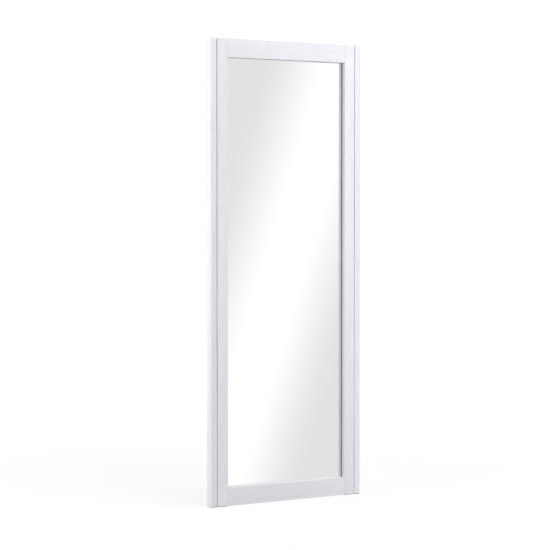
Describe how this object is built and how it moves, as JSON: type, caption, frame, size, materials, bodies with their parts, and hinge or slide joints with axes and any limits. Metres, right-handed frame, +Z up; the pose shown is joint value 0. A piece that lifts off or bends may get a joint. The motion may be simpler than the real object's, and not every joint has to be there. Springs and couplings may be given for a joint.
{
  "type": "cheval floor mirror",
  "caption": "Tall free-standing mirror in a white brushed wood frame, nested in a folding rear stand that hook stays hold open.",
  "frame": {"origin": "on the floor, under the middle of the closed mirror", "axes": "+Z up; the mirror faces -Y; +X is to the right of a person who looks into the mirror"},
  "size_m": [0.6, 0.032, 1.6],
  "materials": {
    "white_wood": "satin white paint, brushed so that the grain shows",
    "dowel_wood": "plain beech",
    "hardboard": "brown hardboard, smooth side out",
    "mirror": "silvered float glass",
    "seal": "matt charcoal rubber",
    "pad_rubber": "matt rubber",
    "zinc_steel": "bright zinc plate",
    "brass": "machined",
    "nylon": "natural nylon",
    "white_plastic": "matt white moulded plastic"
  },
  "bodies": {
    "mirror_frame": {"left_stile": "white_wood", "right_stile": "white_wood", "top_rail": "white_wood", "bottom_rail": "white_wood", "corner_dowels": "dowel_wood", "glazing_seal": "seal", "mirror_glass": "mirror", "backing_board": "hardboard", "backing_clips": "zinc_steel", "clip_screws": "zinc_steel", "pivot_inserts": "brass", "pivot_bolts": "zinc_steel", "pivot_washers": "nylon", "stay_brackets": "zinc_steel", "bracket_screws": "zinc_steel", "stay_pins": "zinc_steel", "stand_bumpers": "pad_rubber", "frame_feet": "pad_rubber"},
    "stand": {"left_upright": "white_wood", "right_upright": "white_wood", "upper_cross_rail": "white_wood", "lower_cross_rail": "white_wood", "cross_rail_screws": "zinc_steel", "pivot_caps": "white_plastic", "stay_studs": "zinc_steel", "stand_feet": "pad_rubber"},
    "left_stay": {"left_stay": "zinc_steel"},
    "right_stay": {"right_stay": "zinc_steel"}
  },
  "joints": [
    {"name": "stand_swing", "type": "hinge", "parent": "mirror_frame", "child": "stand", "pos_m": [0, -0.003, 1.48], "axis": [1, 0, 0], "range_deg": [0, 16]},
    {"name": "left_stay_swing", "type": "hinge", "parent": "mirror_frame", "child": "left_stay", "pos_m": [-0.27175, 0.01185, 0.78], "axis": [1, 0, 0], "range_deg": [0, 114.2]},
    {"name": "right_stay_swing", "type": "hinge", "parent": "mirror_frame", "child": "right_stay", "pos_m": [0.27175, 0.01185, 0.78], "axis": [1, 0, 0], "range_deg": [0, 114.2]}
  ]
}
